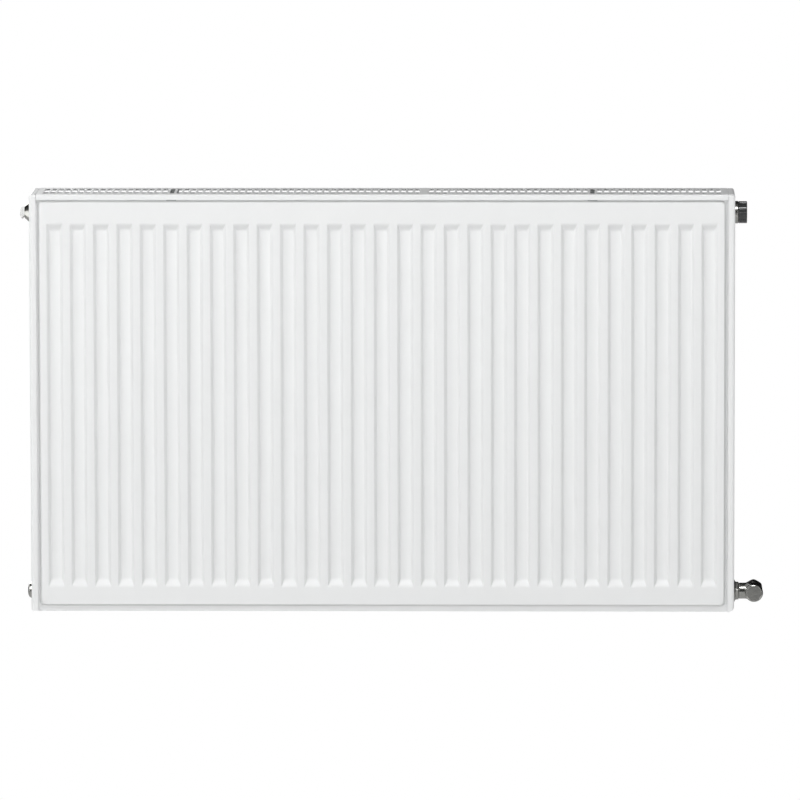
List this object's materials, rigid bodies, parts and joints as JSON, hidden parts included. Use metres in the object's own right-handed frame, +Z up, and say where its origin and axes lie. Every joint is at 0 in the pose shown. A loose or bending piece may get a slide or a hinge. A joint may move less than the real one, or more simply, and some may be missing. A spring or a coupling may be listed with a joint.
{
  "type": "panel radiator",
  "caption": "Wall-hung steel panel radiator with fluted front, slotted top grille, side covers, built-in thermostatic valve, air vent and angle return valve.",
  "frame": {"origin": "middle of the rear panel's bottom edge, on the seam between its two sheets", "axes": "+X along the length, to the right as seen from the room; +Y from the room to the wall; +Z up"},
  "size_m": [1.0627, 0.112, 0.6],
  "materials": {
    "white_paint": "satin powder coat",
    "spring_clip": "zinc-plated spring steel",
    "chrome": "polished nickel plate",
    "black_plastic": "semi-gloss moulded",
    "white_plastic": "satin moulded",
    "rubber": "matt",
    "brass": "turned",
    "stainless": "ground"
  },
  "bodies": {
    "radiator": {"front_panel_face_sheet": "white_paint", "front_panel_inner_sheet": "white_paint", "rear_panel_inner_sheet": "white_paint", "rear_panel_wall_sheet": "white_paint", "front_convector": "white_paint", "rear_convector": "white_paint", "left_side_cover": "white_paint", "right_side_cover": "white_paint", "left_cover_clips": "spring_clip", "right_cover_clips": "spring_clip", "vent_tee": "white_paint", "plug_tee": "white_paint", "return_tee": "white_paint", "valve_housing": "white_paint", "supply_nipple": "white_paint", "return_nipple": "white_paint", "supply_block": "white_paint", "nipple_bridge": "white_paint", "riser_pipe": "white_paint", "lower_left_lug": "white_paint", "lower_right_lug": "white_paint", "upper_left_lug": "white_paint", "upper_right_lug": "white_paint", "vent_o_ring": "rubber", "plug_o_ring": "rubber", "insert_o_ring": "rubber", "tailpiece_o_ring": "rubber", "blind_plug": "chrome", "vent_body": "chrome", "valve_insert_body": "chrome", "valve_gland": "brass", "valve_spring": "stainless", "return_tailpiece": "chrome", "return_union_nut": "chrome", "return_valve_body": "chrome", "return_bonnet": "brass"},
    "top_grille": {"top_grille": "white_paint", "grille_stiffener": "white_paint", "grille_clips": "spring_clip"},
    "valve_pin": {"valve_pin": "stainless", "valve_disc": "rubber"},
    "protective_cap": {"protective_cap": "black_plastic"},
    "vent_nozzle": {"vent_nozzle_ring": "white_plastic"},
    "vent_seal": {"vent_screw_seal": "rubber"},
    "vent_screw": {"vent_screw": "brass"},
    "return_disc": {"return_disc": "rubber"},
    "return_spindle": {"return_spindle": "brass"},
    "return_cap_washer": {"return_cap_washer": "rubber"},
    "return_cap": {"return_cap": "chrome"}
  },
  "joints": [
    {"name": "grille_lift", "type": "slide", "parent": "radiator", "child": "top_grille", "axis": [0, 0, 1], "range_m": [0, 0.05]},
    {"name": "valve_pin_slide", "type": "slide", "parent": "radiator", "child": "valve_pin", "axis": [1, 0, 0], "range_m": [0, 0.00225], "deforming": ["valve_spring"]},
    {"name": "protective_cap_turn", "type": "hinge", "parent": "valve_pin", "child": "protective_cap", "pos_m": [0.515, -0.043, 0.57], "axis": [1, 0, 0], "range_deg": [0, 540]},
    {"name": "vent_nozzle_turn", "type": "hinge", "parent": "radiator", "child": "vent_nozzle", "pos_m": [-0.5146, -0.043, 0.57], "axis": [-1, 0, 0], "continuous": true},
    {"name": "vent_seal_slide", "type": "slide", "parent": "radiator", "child": "vent_seal", "axis": [-1, 0, 0], "range_m": [0, 0.0015]},
    {"name": "vent_screw_turn", "type": "hinge", "parent": "vent_seal", "child": "vent_screw", "pos_m": [-0.507, -0.043, 0.57], "axis": [-1, 0, 0], "range_deg": [0, 540]},
    {"name": "return_disc_slide", "type": "slide", "parent": "radiator", "child": "return_disc", "axis": [0, 1, 0], "range_m": [0, 0.003]},
    {"name": "return_spindle_turn", "type": "hinge", "parent": "return_disc", "child": "return_spindle", "pos_m": [0.532, -0.053, 0.024], "axis": [0, 1, 0], "range_deg": [0, 1080]},
    {"name": "return_cap_slide", "type": "slide", "parent": "radiator", "child": "return_cap_washer", "axis": [0, -1, 0], "range_m": [0, 0.0045]},
    {"name": "return_cap_turn", "type": "hinge", "parent": "return_cap_washer", "child": "return_cap", "pos_m": [0.532, -0.063, 0.024], "axis": [0, -1, 0], "range_deg": [0, 1080]}
  ],
  "couplings": [
    {"joint": "protective_cap_turn", "follows": "valve_pin_slide", "rad_per_m": 4188.8},
    {"joint": "vent_screw_turn", "follows": "vent_seal_slide", "rad_per_m": 6283.2},
    {"joint": "return_spindle_turn", "follows": "return_disc_slide", "rad_per_m": 6283.2},
    {"joint": "return_cap_turn", "follows": "return_cap_slide", "rad_per_m": 4188.8}
  ]
}
